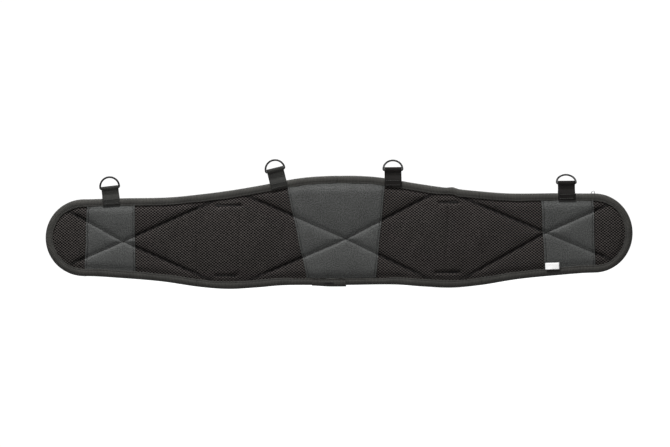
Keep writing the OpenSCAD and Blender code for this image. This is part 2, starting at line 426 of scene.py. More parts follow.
def grid_faces(rows, cols, first=0, flip=False):
    i, j = np.meshgrid(np.arange(rows - 1), np.arange(cols - 1), indexing="ij")
    a = first + i * cols + j
    quads = np.stack([a, a + 1, a + cols + 1, a + cols], axis=-1).reshape(-1, 4)
    return quads[:, ::-1] if flip else quads


def slab(name, outer, inner, material, uv=None):
    """A closed layer between two grids of points, outer seen from -Y when rows go up."""
    rows, cols = outer.shape[:2]
    count = rows * cols
    border = np.concatenate([np.arange(cols), np.arange(1, rows) * cols + cols - 1,
                             (rows - 1) * cols + np.arange(cols - 2, -1, -1),
                             np.arange(rows - 2, 0, -1) * cols])
    after = np.roll(border, -1)
    walls = np.stack([border, border + count, after + count, after], axis=-1)
    faces = np.vstack([grid_faces(rows, cols), grid_faces(rows, cols, count, True), walls])
    points = np.vstack([outer.reshape(-1, 3), inner.reshape(-1, 3)])
    if uv is None:
        uv = points[:, [0, 2]]
    else:
        uv = np.vstack([uv.reshape(-1, 2)] * 2)
    return make(name, points, faces, material, uv, flat=len(walls))


def loft(name, sections, material, uv=None):
    """Joins rings of points. A ring's first half is its outer line and the rest comes back."""
    count, size = sections.shape[:2]
    i, j = np.meshgrid(np.arange(count - 1), np.arange(size), indexing="ij")
    m = (j + 1) % size
    faces = np.stack([i * size + j, i * size + m, (i + 1) * size + m, (i + 1) * size + j],
                     axis=-1).reshape(-1, 4)
    a = np.arange(size // 2 - 1)
    cap = np.stack([a, size - 1 - a, size - 2 - a, a + 1], axis=-1)
    last = (count - 1) * size
    faces = np.vstack([faces, cap, cap[:, ::-1] + last])
    return make(name, sections.reshape(-1, 3), faces, material,
                None if uv is None else uv.reshape(-1, 2), flat=2 * len(cap))


def stitches(name, rows, material, radius, lift):
    """Thread stitches: short round arcs that rise from the cloth and go back in.

    Each row holds the stitches' starts, their ends and the cloth's normals.
    """
    starts, ends, normals = (np.vstack(part) for part in zip(*rows))
    along = ends - starts
    side = np.cross(normals, along)
    side /= np.linalg.norm(side, axis=1)[:, None]
    steps = np.array([0, 0.12, 0.35, 0.65, 0.88, 1.0])
    width = np.array([0.35, 0.85, 1.0, 1.0, 0.85, 0.35]) * radius
    height = np.array([-1.2, 0.25, 1.0, 1.0, 0.25, -1.2]) * lift
    turn = np.radians(np.arange(6) * 60)
    up = (height[:, None] + width[:, None] * np.sin(turn))[None, ..., None]
    out = (width[:, None] * np.cos(turn))[None, ..., None]
    points = (starts[:, None, None] + along[:, None, None] * steps[None, :, None, None]
              + normals[:, None, None] * up + side[:, None, None] * out)
    each = len(steps) * 6
    i, j = np.meshgrid(np.arange(len(steps) - 1), np.arange(6), indexing="ij")
    m = (j + 1) % 6
    quads = np.stack([i * 6 + j, i * 6 + m, (i + 1) * 6 + m, (i + 1) * 6 + j], -1).reshape(-1, 4)
    last = each - 6
    caps = np.array([[3, 2, 1, 0], [5, 4, 3, 0], [last, last + 1, last + 2, last + 3],
                     [last, last + 3, last + 4, last + 5]])
    one = np.vstack([quads[:, ::-1], caps[:, ::-1]])
    faces = (one[None] + np.arange(len(starts))[:, None, None] * each).reshape(-1, 4)
    return make(name, points.reshape(-1, 3), faces, material,
                points.reshape(-1, 3)[:, [0, 2]])


def sewn(line, outward):
    """A row of stitches along points that already lie on a flat face."""
    step = np.diff(line, axis=0)
    return line[:-1], line[:-1] + step * 0.8, facing(outward, len(step))


def facing(outward, count):
    """The same normal, straight out of one face, for a number of stitches."""
    return np.tile([0.0, outward, 0.0], (count, 1))


def dashes(line, pitch, fill=0.82):
    """Start and end points of stitches along a line in x and z."""
    points, _ = resampled(line, pitch)
    step = np.diff(points, axis=0)
    return points[:-1], points[:-1] + step * fill


def on_face(points, outward, proud=0.0):
    """Points of x and z set on one face, and the face's normals there. Proud of it means a patch."""
    x, z = points[:, 0], points[:, 1]
    read = back_y if outward > 0 else patch_y if np.max(proud) > 0 else front_y
    y = read(x, z) + outward * proud
    slope_x = (read(x + 1, z) - read(x - 1, z)) / 2
    slope_z = (read(x, z + 1) - read(x, z - 1)) / 2
    normal = np.column_stack([-slope_x, np.ones_like(x), -slope_z]) * outward
    return np.column_stack([x, y, z]), normal / np.linalg.norm(normal, axis=1)[:, None]


def sewn_on_face(a, b, outward, proud=0.0):
    """A row of stitches from a to b, in x and z, set on one face."""
    starts, normals = on_face(a, outward, proud)
    return starts, on_face(b, outward, proud)[0], normals


# ---------------------------------------------------------------- materials


class Nodes:
    """Short names for building a material's nodes."""

    def __init__(self, name):
        self.material = bpy.data.materials.new(name)
        self.material.use_nodes = True
        self.tree = self.material.node_tree
        self.shader = self.tree.nodes["Principled BSDF"]

    def new(self, kind, inputs=(), **settings):
        node = self.tree.nodes.new("ShaderNode" + kind)
        for key, value in settings.items():
            setattr(node, key, value)
        for key, value in dict(inputs).items():
            self.put(node.inputs[key], value)
        return node

    def put(self, socket, value):
        if isinstance(value, bpy.types.NodeSocket):
            self.tree.links.new(value, socket)
        else:
            socket.default_value = value

    def math(self, what, a, b=0.0, clamp=False):
        return self.new("Math", {0: a, 1: b}, operation=what, use_clamp=clamp).outputs[0]

    def cloth(self, turn=0.0, wide=1.0, tall=1.0):
        """The cloth's own coordinates in millimetres, as two sockets and a vector."""
        uv = self.new("UVMap", uv_map="cloth").outputs[0]
        vector = self.new("Mapping", {0: uv, "Rotation": (0, 0, math.radians(turn)),
                                      "Scale": (100 * wide, 100 * tall, 100)}).outputs[0]
        parts = self.new("SeparateXYZ", {0: vector})
        return parts.outputs[0], parts.outputs[1], vector

    def wave(self, socket, pitch):
        """A cosine from 0 to 1 that repeats at a pitch."""
        turned = self.math("COSINE", self.math("MULTIPLY", socket, 2 * math.pi / pitch))
        return self.math("ADD", self.math("MULTIPLY", turned, 0.5), 0.5)

    def noise(self, vector, size, detail=2.0):
        """Noise from 0 to 1 with features of a size in millimetres."""
        return self.new("TexNoise", {"Vector": vector, "Scale": 1 / size,
                                     "Detail": detail}).outputs[0]

    def blend(self, factor, a, b):
        node = self.new("Mix", {0: factor, 6: a, 7: b}, data_type="RGBA")
        return node.outputs[2]

    def smooth(self, value, low, high):
        """0 below low, 1 above high, smooth between."""
        node = self.new("MapRange", {0: value, 1: low, 2: high}, interpolation_type="SMOOTHSTEP")
        return node.outputs[0]

    def between(self, factor, low, high):
        """Takes 0 to 1 to low to high."""
        return self.math("ADD", self.math("MULTIPLY", factor, high - low), low)

    def bump(self, height, distance_mm, strength=1.0):
        node = self.new("Bump", {"Height": height, "Strength": strength,
                                 "Distance": distance_mm * MM})
        self.put(self.shader.inputs["Normal"], node.outputs[0])

    def finish(self, **values):
        names = {"color": "Base Color", "rough": "Roughness", "metal": "Metallic",
                 "specular": "Specular IOR Level", "glow": "Emission Strength"}
        for key, value in values.items():
            self.put(self.shader.inputs[names[key]], value)
        return self.material


def srgb(r, g, b):
    """A linear colour from 8-bit sRGB values."""
    line = [((c / 255 + 0.055) / 1.055) ** 2.4 if c > 10 else c / 255 / 12.92 for c in (r, g, b)]
    return (*line, 1.0)


def spacer_mesh():
    """Open knit: rows of dark holes between lighter threads, darkened beside the seams by painted
    shade.
    """
    n = Nodes("spacer_mesh")
    vector = n.cloth(45, 0.89, 1.1)[2]
    cell = n.new("TexVoronoi", {"Vector": vector, "Scale": 1 / 3.23, "Randomness": 0.05},
                 voronoi_dimensions="2D").outputs["Distance"]
    thread = n.smooth(cell, 0.36, 0.52)
    fine = n.noise(vector, 0.5)
    worn = n.noise(vector, 35)
    light = n.blend(fine, srgb(31, 29, 28), srgb(62, 58, 56))
    color = n.blend(thread, srgb(1, 1, 1), light)
    # Painted shade: the knit's colour is scaled down to 0.3 in the seam channels, where shade falls
    painted_seam_shade = n.new("Attribute", attribute_name="painted_seam_shade").outputs["Fac"]
    wear_and_painted_shade = n.math("MULTIPLY", n.between(worn, 0.75, 1.25), n.between(painted_seam_shade, 1.0, 0.3))
    scaled = n.new("VectorMath", {0: color, "Scale": wear_and_painted_shade}, operation="SCALE")
    n.bump(n.math("ADD", thread, n.math("MULTIPLY", fine, 0.25)), 0.6, 0.8)
    return n.finish(color=scaled.outputs[0], rough=0.9, specular=0.05)


def woven(name, dark, light, pitch, depth, rough=0.85):
    """Plain weave of threads at a pitch."""
    n = Nodes(name)
    u, v, vector = n.cloth()
    over = n.wave(u, pitch)
    under = n.wave(v, pitch)
    gaps = n.math("MULTIPLY", n.math("SUBTRACT", 1.0, over), n.math("SUBTRACT", 1.0, under))
    weave = n.math("ADD", n.math("MULTIPLY", over, under), gaps)
    fine = n.noise(vector, 0.35)
    worn = n.noise(vector, 30)
    factor = n.math("MULTIPLY", n.math("ADD", n.math("MULTIPLY", weave, 0.7),
                                       n.math("MULTIPLY", fine, 0.45)), n.between(worn, 0.6, 1.25))
    n.bump(n.math("ADD", weave, n.math("MULTIPLY", fine, 0.4)), depth, 0.7)
    return n.finish(color=n.blend(factor, srgb(*dark), srgb(*light)), rough=rough, specular=0.12)


def ribbed(name, dark, light, pitch, depth, rough=0.75, specular=0.15):
    """Tape with ribs across it; u runs along the tape."""
    n = Nodes(name)
    u, v, vector = n.cloth()
    slip = n.math("MULTIPLY", n.noise(vector, 9), 1.2)
    rib = n.wave(n.math("ADD", u, slip), pitch)
    thread = n.wave(v, 0.55)
    fine = n.noise(vector, 0.4)
    worn = n.noise(vector, 22)
    body = n.math("ADD", n.math("MULTIPLY", rib, 0.65), n.math("MULTIPLY", thread, 0.15))
    factor = n.math("MULTIPLY", n.math("ADD", body, n.math("MULTIPLY", fine, 0.3)),
                    n.between(worn, 0.45, 1.35))
    n.bump(n.math("ADD", body, n.math("MULTIPLY", fine, 0.2)), depth, 0.8)
    return n.finish(color=n.blend(factor, srgb(*dark), srgb(*light)), rough=rough, specular=specular)


def grip_leather():
    """Leather-look cloth: speckled pebble grain, nearly matt."""
    n = Nodes("grip_leather")
    vector = n.cloth()[2]
    shift = n.new("TexNoise", {"Vector": vector, "Scale": 0.9}).outputs[1]
    bent = n.new("VectorMath", {0: vector, 1: shift}, operation="ADD").outputs[0]
    grain = n.new("TexVoronoi", {"Vector": bent, "Scale": 1 / 1.5},
                  voronoi_dimensions="2D", feature="DISTANCE_TO_EDGE").outputs["Distance"]
    pebble = n.smooth(grain, 0.0, 0.22)
    fine = n.noise(vector, 1.6, 3)
    speck = n.new("MapRange", {0: fine, 1: 0.4, 2: 0.62}).outputs[0]
    worn = n.noise(vector, 28)
    factor = n.math("MULTIPLY", n.math("ADD", n.math("MULTIPLY", pebble, 0.35),
                                       n.math("MULTIPLY", speck, 0.6)), n.between(worn, 0.7, 1.3))
    n.bump(n.math("ADD", pebble, n.math("MULTIPLY", fine, 0.6)), 0.16, 0.75)
    rough = n.between(n.math("MULTIPLY", fine, pebble), 0.6, 0.42)
    return n.finish(color=n.blend(factor, srgb(14, 14, 14), srgb(55, 56, 55)), rough=rough,
                    specular=0.12)


def foam_sheet():
    n = Nodes("foam")
    vector = n.cloth()[2]
    cell = n.new("TexVoronoi", {"Vector": vector, "Scale": 1 / 0.8}).outputs["Distance"]
    n.bump(cell, 0.3, 0.6)
    return n.finish(color=n.blend(cell, srgb(70, 70, 72), srgb(105, 105, 108)), rough=0.9)


def thread_material(name, dark, light):
    n = Nodes(name)
    u, v, _ = n.cloth()
    twist = n.wave(n.math("ADD", u, v), 0.5)
    n.bump(twist, 0.08, 0.6)
    return n.finish(color=n.blend(twist, srgb(*dark), srgb(*light)), rough=0.7, specular=0.15)


def ring_coat():
    """Black coated wire, rubbed lighter here and there. CAD nodes have no cloth coordinates."""
    n = Nodes("ring_wire")
    place = n.new("TexCoord").outputs["Object"]
    grain = n.new("TexNoise", {"Vector": place, "Scale": 2200.0, "Detail": 3.0}).outputs[0]
    rubbed = n.new("TexNoise", {"Vector": place, "Scale": 160.0, "Detail": 4.0}).outputs[0]
    patch = n.new("MapRange", {0: rubbed, 1: 0.55, 2: 0.8}).outputs[0]
    n.bump(grain, 0.05, 0.4)
    return n.finish(color=n.blend(patch, srgb(5, 5, 5), srgb(20, 20, 20)),
                    rough=n.between(rubbed, 0.35, 0.6), specular=0.14)


def label_cloth():
    n = Nodes("label")
    u, v, _ = n.cloth()
    weave = n.math("MULTIPLY", n.wave(u, 0.35), n.wave(v, 0.5))
    n.bump(weave, 0.08, 0.5)
    return n.finish(color=n.blend(weave, srgb(160, 160, 160), srgb(187, 187, 186)), rough=0.8,
                    specular=0.2)


MESH = spacer_mesh()
SHELL = woven("shell_fabric", (12, 12, 13), (42, 42, 44), 1.1, 0.2)
TAPE = ribbed("binding_tape", (2, 2, 2), (43, 42, 39), 2.2, 0.4)
WEBBING = ribbed("webbing", (6, 6, 6), (30, 30, 28), 1.3, 0.3, 0.7, 0.08)
DARK_WEBBING = ribbed("webbing_dark", (3, 3, 3), (19, 17, 16), 1.3, 0.3, 0.8, 0.05)
STRAP = ribbed("strap_webbing", (12, 12, 12), (44, 44, 44), 1.4, 0.3, 0.65)
LEATHER = grip_leather()
FOAM = foam_sheet()
THREAD = thread_material("thread", (12, 12, 12), (34, 33, 32))
TACK_THREAD = thread_material("tack_thread", (3, 3, 3), (12, 11, 11))
TAB_THREAD = thread_material("tab_thread", (20, 20, 19), (50, 50, 48))
RING = ring_coat()
LABEL = label_cloth()

# ---------------------------------------------------------------- stretches of the pad

# Stretches of the pad: name, from x, to x, inner body, outer body, bend, half of its zone
STRETCHES = [
    ("left_outer", -TIP_X, -SPLIT_X, "left_side", "left_end", OUTER_BEND_X, OUTER_ZONE),
    ("left_inner", -SPLIT_X, 0, "back", "left_side", INNER_BEND_X, INNER_ZONE),
    ("right_inner", 0, SPLIT_X, "back", "right_side", INNER_BEND_X, INNER_ZONE),
    ("right_outer", SPLIT_X, TIP_X, "right_side", "right_end", OUTER_BEND_X, OUTER_ZONE),
]
REPLACED = {"left_outer": ["left_end"], "left_inner": ["left_side"],
            "right_inner": ["right_side", "back"], "right_outer": ["right_end"]}


def bend_with(piece):
    """Bakes the piece's transform into its mesh."""
    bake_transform(piece)


def face_grid(x0, x1, inset, pitch):
    """x and z over one stretch of the pad, drawn in from the rim, rows going up."""
    columns = max(4, int(round((x1 - x0) / pitch)))
    t = np.linspace(0, 1, columns + 1)
    if x0 <= -TIP_X:
        tip = RIM[:, 0].min() + inset
        x = tip + (x1 - tip) * (1 - np.cos(t * math.pi / 2)) ** 0.9
    elif x1 >= TIP_X:
        tip = RIM[:, 0].max() - inset
        x = tip - (tip - x0) * (1 - np.cos((1 - t) * math.pi / 2)) ** 0.9
    else:
        x = x0 + (x1 - x0) * t
    top, bottom = edge_z(x, True, inset), edge_z(x, False, inset)
    rows = int(round((np.max(top) - np.min(bottom)) / pitch))
    v = np.linspace(0, 1, rows + 1)[:, None]
    return np.broadcast_to(x, (rows + 1, columns + 1)), bottom + (top - bottom) * v


def stacked(x, y, z):
    return np.stack([x, y, z], axis=-1)


# ---------------------------------------------------------------- the pad


def make_faces():
    for stretch in STRETCHES:
        name, x0, x1 = stretch[:3]
        x, z = face_grid(x0, x1, 5.0, 1.15)
        y = front_y(x, z)
        lining = slab(f"lining_{name}", stacked(x, y, z), stacked(x, y + LINING_T, z), MESH)
        # Painted shade in the seam channels: how far the knit's colour is darkened beside each seam
        painted_seam_shade = np.exp(-((seam_distance(x, z) / 2.4) ** 2)).ravel()
        lining.data.attributes.new("painted_seam_shade", "FLOAT", "POINT").data.foreach_set(
            "value", np.r_[painted_seam_shade, painted_seam_shade].astype(np.float32))
        x, z = face_grid(x0, x1, 5.0, 1.8)
        y = back_y(x, z)
        shell = slab(f"shell_{name}", stacked(x, y - SHELL_T, z), stacked(x, y, z), SHELL)
        fx, fz = face_grid(x0, x1, 5.5, 3.0)
        squeeze = 1.2 * np.exp(-seam_distance(fx, fz) / 5)
        core = slab(f"foam_{name}", stacked(fx, front_y(fx, fz) + LINING_T + 0.3 + squeeze, fz),
                    stacked(fx, back_y(fx, fz) - SHELL_T - 0.3 - squeeze / 2, fz), FOAM)
        spans = REPLACED[name]
        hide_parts(*[f"mesh_lining_{s}" for s in spans])
        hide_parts(*[f"outer_shell_{s}" for s in spans])
        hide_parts(*[f"foam_core_{s}" for s in spans])
        for piece in (lining, shell, core):
            bend_with(piece)


# Tape section as [inset, half thickness], outside and then inside, from the inner edge to the rim
TAPE_OUTSIDE = [(11.4, 3.9), (11.1, 4.2), (10.3, 4.3), (9.4, 3.85), (8.5, 4.3), (6.6, 4.55),
                (4.4, 4.4), (2.4, 3.7), (0.9, 2.5), (0.0, 0.0)]
TAPE_INSIDE = [(11.4, 3.4), (11.1, 3.4), (10.3, 3.4), (9.4, 3.15), (8.5, 3.4), (6.6, 3.6),
               (4.4, 3.5), (2.9, 2.9), (1.6, 2.0), (0.85, 0.0)]


def tape_sections(points, inward, s, proud=0.0, wave=1.0):
    """Rings of the folded tape along a stretch of the rim."""
    x, z = points.T
    ripple = 0.45 * np.sin(s / 7.3 + 2 * np.sin(s / 61)) * np.sin(s / 39)
    slack = wave * (ripple + 0.25 * np.sin(s / 17.7))
    # A kink in the top edge at the right hip, where the tape was pulled narrow
    kink = wave * (z > 0) * (ramp(x, 150, 173) - ramp(x, 176, 183)) * 2.4
    # It is folded a little narrower along the foot of the lumbar patch
    kink = kink + (z < 0) * (1.5 - 1.5 * ramp(np.abs(x - 2), 62, 85))
    bulge = wave * (z > 0) * 2.0 * np.exp(-(((x - 173) / 7) ** 2))
    outside, inside = np.array(TAPE_OUTSIDE), np.array(TAPE_INSIDE)
    outer = np.vstack([outside, outside[-2::-1] * [1, -1]])
    inner = np.vstack([inside, inside[-2::-1] * [1, -1]])
    ring = np.vstack([outer, inner[::-1]])
    share = ring[:, 0] / TAPE_W
    inset = (ring[:, 0] - (proud + bulge[:, None]) * (1 - share)
             + (slack[:, None] * 0.7 - kink[:, None]) * share)
    half = ring[:, 1] + proud * np.sign(ring[:, 1]) * (np.arange(len(ring)) < len(outer))
    dip = wave * 0.18 * np.sin(s / 5.1 + 1.5 * np.sin(s / 23))[:, None] * share * np.sign(ring[:, 1])
    px = x[:, None] + inward[:, :1] * inset
    pz = z[:, None] + inward[:, 1:] * inset
    return stacked(px, MID_Y - half - dip, pz), ring


def make_binding():
    """The tape in strips that each cross one bend: a U at each end, and top and bottom strips."""
    def strip(name, chosen, nodes):
        order = np.flatnonzero(chosen)
        gap = np.flatnonzero(np.diff(order) > 1)
        if len(gap):
            order = np.r_[order[gap[0] + 1:], order[:gap[0] + 1]]
        points, inward, s = RIM[order], RIM_IN[order], RIM_S[order]
        rings, ring = tape_sections(points, inward, s)
        length = np.r_[0, np.cumsum(np.linalg.norm(np.diff(points, axis=0), axis=1))] + s[0]
        across = np.cumsum(np.r_[0, np.linalg.norm(np.diff(ring, axis=0), axis=1)])
        uv = stacked_uv(length, across)
        tape = loft(name, rings, TAPE, uv)
        if nodes:
            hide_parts(*nodes)
        bend_with(tape)
        sew_tape(name, rings)

    x, z = RIM.T
    step = RIM_LENGTH / len(RIM)
    for stretch in STRETCHES:
        name, x0, x1 = stretch[:3]
        nodes = [f"edge_binding_{s}" for s in REPLACED[name]]
        reach = (x >= x0 - (step if x0 > -TIP_X else 9)) & (x <= x1 + (0 if x1 < TIP_X else 9))
        if name.endswith("outer"):
            strip(f"binding_{name}", reach, nodes)
        else:
            strip(f"binding_{name}_top", reach & (z > 0), nodes)
            strip(f"binding_{name}_bottom", reach & (z <= 0), [])


def stacked_uv(length, across):
    u, v = np.meshgrid(length, across, indexing="ij")
    return np.stack([u, v], axis=-1)


def sew_tape(name, rings):
    """The two stitch lines that hold a strip of tape, one on each face."""
    rows = [sewn(resampled(rings[:, index], 3.1)[0], outward)
            for index, outward in ((3, -1), (len(TAPE_OUTSIDE) * 2 - 5, 1))]
    bend_with(stitches(f"{name}_stitches", rows, THREAD, 0.36, 0.12))


def make_quilting():
    """Stitches along the crossed seams, in the floor of each channel, on both faces."""
    rows_of = {"front": [], "back": []}
    for outward, face in ((-1, "front"), (1, "back")):
        for middle, ends in CROSSES:
            for end in ends:
                line = resampled([middle, end], 1.0)[0]
                line = line[rim_distance(line[:, 0], line[:, 1]) > TAPE_W - 1]
                a, b = dashes(line, 3.4, 0.9)
                covered = on_patch((a + b) / 2) if outward < 0 else np.zeros(len(a), bool)
                for chosen, proud in ((covered, PATCH_T), (~covered, 0.0)):
                    rows_of[face].append(sewn_on_face(a[chosen], b[chosen], outward, proud))
    for face, rows in rows_of.items():
        starts, ends, normals = (np.vstack(part) for part in zip(*rows))
        middle_x = (starts[:, 0] + ends[:, 0]) / 2
        for stretch in STRETCHES:
            name, x0, x1 = stretch[:3]
            inside = (middle_x >= x0) & (middle_x < x1)
            row = (starts[inside], ends[inside], normals[inside])
            bend_with(stitches(f"quilting_{face}_{name}", [row], TACK_THREAD, 0.5, 0.3))


# Grip patches: corners at bottom left, bottom right, top right, top left
PATCHES = {
    "left": [(-387, -60), (-309.5, -60), (-310, 60), (-382, 60)],
    "lumbar": [(-50.2, -61), (55.8, -61), (72.5, 95), (-83, 95)],
    "right": [(312, -60), (388.5, -60), (386.5, 60), (307, 60)],
}
PATCH_BODY = {"left": "left_end", "lumbar": "back", "right": "right_end"}
# How far inside the rim patches begin: tucked under the tape, and at the lumbar patch's foot
PATCH_TUCK = TAPE_W - 4
LUMBAR_FOOT = TAPE_W - 0.8
# How far in from a patch's edge its stitch line is, and the stitches' pitch
PATCH_HEM = 2.9
PATCH_STITCH = 2.9


def patch_sides(name, z):
    """The patch's left and right edge at heights z."""
    bl, br, tr, tl = np.array(PATCHES[name], float)
    wobble = 0.35 * np.sin(z / 9.0 + bl[0])
    left = np.interp(z, [bl[1], tl[1]], [bl[0], tl[0]]) + wobble
    right = np.interp(z, [br[1], tr[1]], [br[0], tr[0]]) + 0.3 * np.sin(z / 11.0 + br[0])
    return left, right


def on_patch(points):
    """Whether points lie on a grip patch."""
    x, z = points.T
    inside = np.zeros(len(points), bool)
    for name in PATCHES:
        left, right = patch_sides(name, z)
        inside |= (x > left) & (x < right)
    return inside


def make_patches():
    for name, body in PATCH_BODY.items():
        low, high = PATCHES[name][0][1], PATCHES[name][2][1]
        columns = np.linspace(0, 1, 70 if name != "lumbar" else 96)[None, :]
        rows = np.linspace(0, 1, 90 if name != "lumbar" else 110)[:, None]
        # The sides slant, so x and z are found together in a few passes
        left, right = patch_sides(name, np.array([low, high]))
        x = left[0] + (right[0] - left[0]) * columns + 0 * rows
        foot = LUMBAR_FOOT if name == "lumbar" else PATCH_TUCK
        for _ in range(3):
            top = edge_z(x) - PATCH_TUCK
            bottom = edge_z(x, False) + foot
            z = bottom + (top - bottom) * rows
            left, right = patch_sides(name, z)
            x = left + (right - left) * columns
        gap = np.minimum(x - left, right - x)
        if name == "lumbar":
            gap = np.minimum(gap, z - bottom)
        # A folded edge stands a little proud, and the stitch line draws the patch in behind it
        fold = 0.6 * np.exp(-((gap - 1.0) / 1.3) ** 2) - 0.6 * np.exp(-((gap - PATCH_HEM) / 0.9) ** 2)
        edge = -0.75 * np.exp(-gap / 0.45)
        y = patch_y(x, z) - PATCH_T - fold - edge
        under = np.maximum(front_y(x, z) - 0.05, y + 0.2)
        patch = slab(f"grip_patch_{name}_cover", stacked(x, y, z), stacked(x, under, z), LEATHER)
        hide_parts(f"grip_patch_{name}")
        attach(patch, body)
        lines = []
        zs = np.linspace(float(z.min()) + 1, float(z.max()) - 1, 200)
        sides = patch_sides(name, zs)
        for side, shift in ((0, PATCH_HEM), (1, -PATCH_HEM)):
            line = np.column_stack([sides[side] + shift, zs])
            keep = (line[:, 1] < edge_z(line[:, 0]) - TAPE_W) & (
                line[:, 1] > edge_z(line[:, 0], False) + TAPE_W)
            lines.append(line[keep])
        if name == "lumbar":
            xs = np.linspace(lines[0][0][0], lines[1][0][0], 120)
            lines.append(np.column_stack([xs, edge_z(xs, False) + LUMBAR_FOOT + PATCH_HEM]))
        rows = [sewn_on_face(*dashes(line, PATCH_STITCH), -1, PATCH_T - 0.3) for line in lines]
        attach(stitches(f"grip_patch_{name}_stitches", rows, TACK_THREAD, 0.45, 0.22), body)


# ---------------------------------------------------------------- webbing


def strip_sections(path, normals, across, width, thickness, count=12):
    """Rings of a flat strap along a path: a thin section with round edges."""
    edge = thickness / 2
    t = np.linspace(-1, 1, count)
    lane = t * (width / 2 - edge * 0.6)
    bow = edge * np.ones(count)
    front = np.column_stack([np.r_[-width / 2 + edge * 0.15, lane, width / 2 - edge * 0.15],
                             np.r_[edge * 0.5, bow, edge * 0.5]])
    ring = np.vstack([front, front[::-1] * [1, -1]])
    path, normals, across = (np.asarray(v, float) for v in (path, normals, across))
    points = (path[:, None] + across[:, None] * ring[None, :, :1]
              + normals[:, None] * ring[None, :, 1:])
    length = np.r_[0, np.cumsum(np.linalg.norm(np.diff(path, axis=0), axis=1))]
    around = np.cumsum(np.r_[0, np.linalg.norm(np.diff(ring, axis=0), axis=1)])
    return points, stacked_uv(length, around)


def rounded_path(points, pitch=0.8, passes=10):
    """A path of short steps with its corners eased."""
    path, _ = resampled(points, pitch)
    for _ in range(passes):
        path[1:-1] = (path[:-2] + 2 * path[1:-1] + path[2:]) / 4
    return resampled(path, pitch)[0]


def path_normals(path, across):
    """Normals of a path, square to it and to the direction across."""
    ahead = np.gradient(path, axis=0)
    normal = np.cross(np.broadcast_to(across, ahead.shape), ahead)
    return normal / np.linalg.norm(normal, axis=1)[:, None]


# Tabs: body of the pad, length of each leg, slack of the loop over the ring, material
TABS = {
    "left_end": ("left_end", 10.0, 0.5, WEBBING),
    "left_back": ("back", 10.0, 1.6, WEBBING),
    "right_back": ("back", 11.0, 1.9, DARK_WEBBING),
    "right_end": ("right_end", 10.5, 1.2, DARK_WEBBING),
}
WIRE_R = 1.45
TAB_BEND_H = 5.0


def make_tabs():
    for name, (body, leg, slack, material) in TABS.items():
        pivot, across = joint(f"tab_{name}_bend")
        bar, _ = joint(f"ring_{name}_swing")
        up = np.cross(across, [0, 1, 0])
        up = up / np.linalg.norm(up)
        up = up if up[2] > 0 else -up
        foot = pivot - up * TAB_BEND_H
        bar_z = float((bar - foot) @ up)
        middle = WIRE_R + 0.07 + WEBBING_T / 2
        rest = 4.32 + WEBBING_T / 2 + 0.05
        ply = WEBBING_T / 2 + 0.05
        turn = np.radians(np.linspace(180, 0, 13))
        bow = np.column_stack([middle * np.cos(turn), bar_z + slack + middle * np.sin(turn)])
        side = [(-rest + 0.15, -leg), (-rest, -leg * 0.5), (-rest, -1.2), (-rest * 0.72, 1.8),
                (-ply, 5.4), (-ply, bar_z - 3.2), (-middle, bar_z - 0.6)]
        line = np.array(side + list(bow) + [(-a, b) for a, b in side[::-1]])
        line = rounded_path(line, 0.7, 6)
        path = foot + np.outer(line[:, 0], [0, 1, 0]) + np.outer(line[:, 1], up)
        normals = path_normals(path, across)
        sections, uv = strip_sections(path, normals, np.tile(across, (len(path), 1)),
                                      WEBBING_W + 1, WEBBING_T)
        tab = loft(f"webbing_tab_{name}", sections, material, uv)
        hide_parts(f"tab_anchor_{name}", f"tab_loop_{name}")
        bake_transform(tab)
        rows = []
        for outward in (-1, 1):
            for height in (-1.8, -leg + 2.4):
                t = np.linspace(-WEBBING_W / 2 + 1.8, WEBBING_W / 2 - 1.8, 60)
                y = MID_Y + outward * (rest + WEBBING_T / 2)
                seam = foot + np.outer(t, across) + up * height
                seam[:, 1] = y
                rows.append(sewn(resampled(seam, 2.6)[0], outward))
        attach(stitches(f"webbing_tab_{name}_stitches", rows, TAB_THREAD, 0.4, 0.2), body)


TACK_PITCH = 0.62


def make_keepers():
    """Belt keeper straps on the outer face, with their bartacks on both faces."""
    for side, (x, top, bottom) in STRAPS.items():
        gap = 3.0
        near = WEBBING_T / 2
        ends = [(top + 5, None), (top - 2.6, None), (top - 11.6, gap), (bottom + 11.6, gap),
                (bottom + 2.6, None), (bottom - 5, None)]
        line = [(z, (float(back_y(x, z)) if y is None else y) + near + 0.05) for z, y in ends]
        run = rounded_path(np.array(line), 1.2, 8)
        path = np.column_stack([np.full(len(run), x), run[:, 1], run[:, 0]])
        across = np.array([1.0, 0, 0])
        normals = path_normals(path, across)
        sections, uv = strip_sections(path, normals, np.tile(across, (len(path), 1)), WEBBING_W, 1.6)
        strap = loft(f"belt_keeper_{side}", sections, STRAP, uv)
        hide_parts(f"keeper_strap_{side}")
        bend_with(strap)
        rows = []
        for z in (top, bottom):
            y = float(np.interp(-z, -run[:, 0], run[:, 1])) + near
            t = np.arange(-11.5, 11.6, TACK_PITCH)
            a = np.column_stack([x + t, np.full(len(t), y), np.full(len(t), z - 1.6)])
            rows.append((a, a + [TACK_PITCH / 2, 0, 3.2], facing(1, len(t))))
        for x0, x1, z, knot_x in SLITS:
            if np.sign(x0) == np.sign(x):
                t = np.arange(x0, x1, TACK_PITCH)
                tall = 0.8 + 1.0 * np.exp(-(((t - knot_x) / 5) ** 2))
                a = np.column_stack([t, z - tall])
                b = np.column_stack([t + TACK_PITCH / 2, z + tall])
                rows.append(sewn_on_face(a, b, -1))
        tacks = stitches(f"bartack_threads_{side}", rows, TACK_THREAD, 0.38, 0.25)
        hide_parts(f"bartacks_{side}")
        bend_with(tacks)


# ---------------------------------------------------------------- small things


